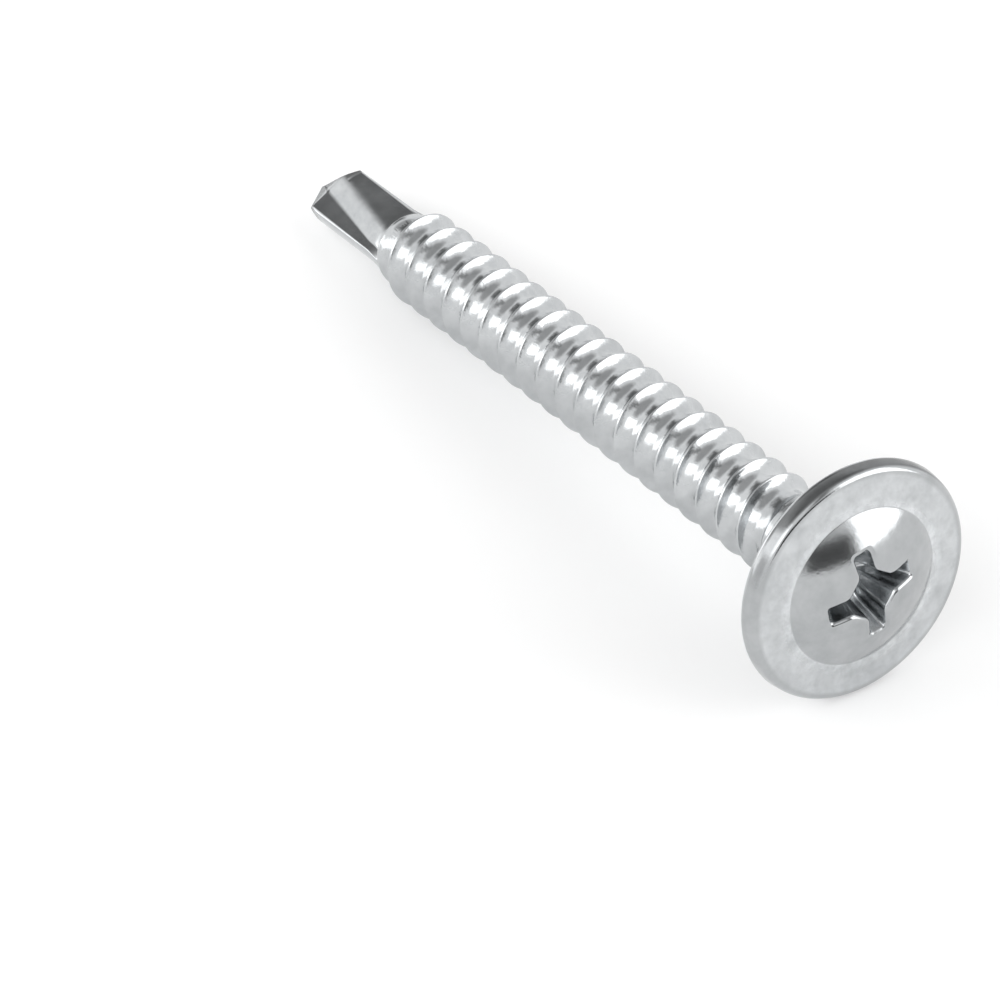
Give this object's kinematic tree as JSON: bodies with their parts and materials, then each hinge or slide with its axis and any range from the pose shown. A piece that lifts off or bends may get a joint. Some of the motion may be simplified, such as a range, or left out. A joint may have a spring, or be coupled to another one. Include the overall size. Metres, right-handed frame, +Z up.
{
  "type": "self drilling screw",
  "caption": "Self drilling screw with a round wafer head, cross recess, coarse tapping thread and fluted drill point, in one piece of zinc plated steel.",
  "frame": {"origin": "on the surface the screw lies on, under the centre of its bounding box", "axes": "+Z up; +X from the drill point towards the head, so the screw lies along X on its flange and its last full thread crest; +Y across it"},
  "size_m": [0.0394, 0.0102, 0.0101],
  "materials": {
    "zinc_plated_steel": "bright zinc plating, satin on the head and shiny on the rolled thread"
  },
  "bodies": {
    "root": {"self_drilling_screw": "zinc_plated_steel"}
  },
  "joints": []
}
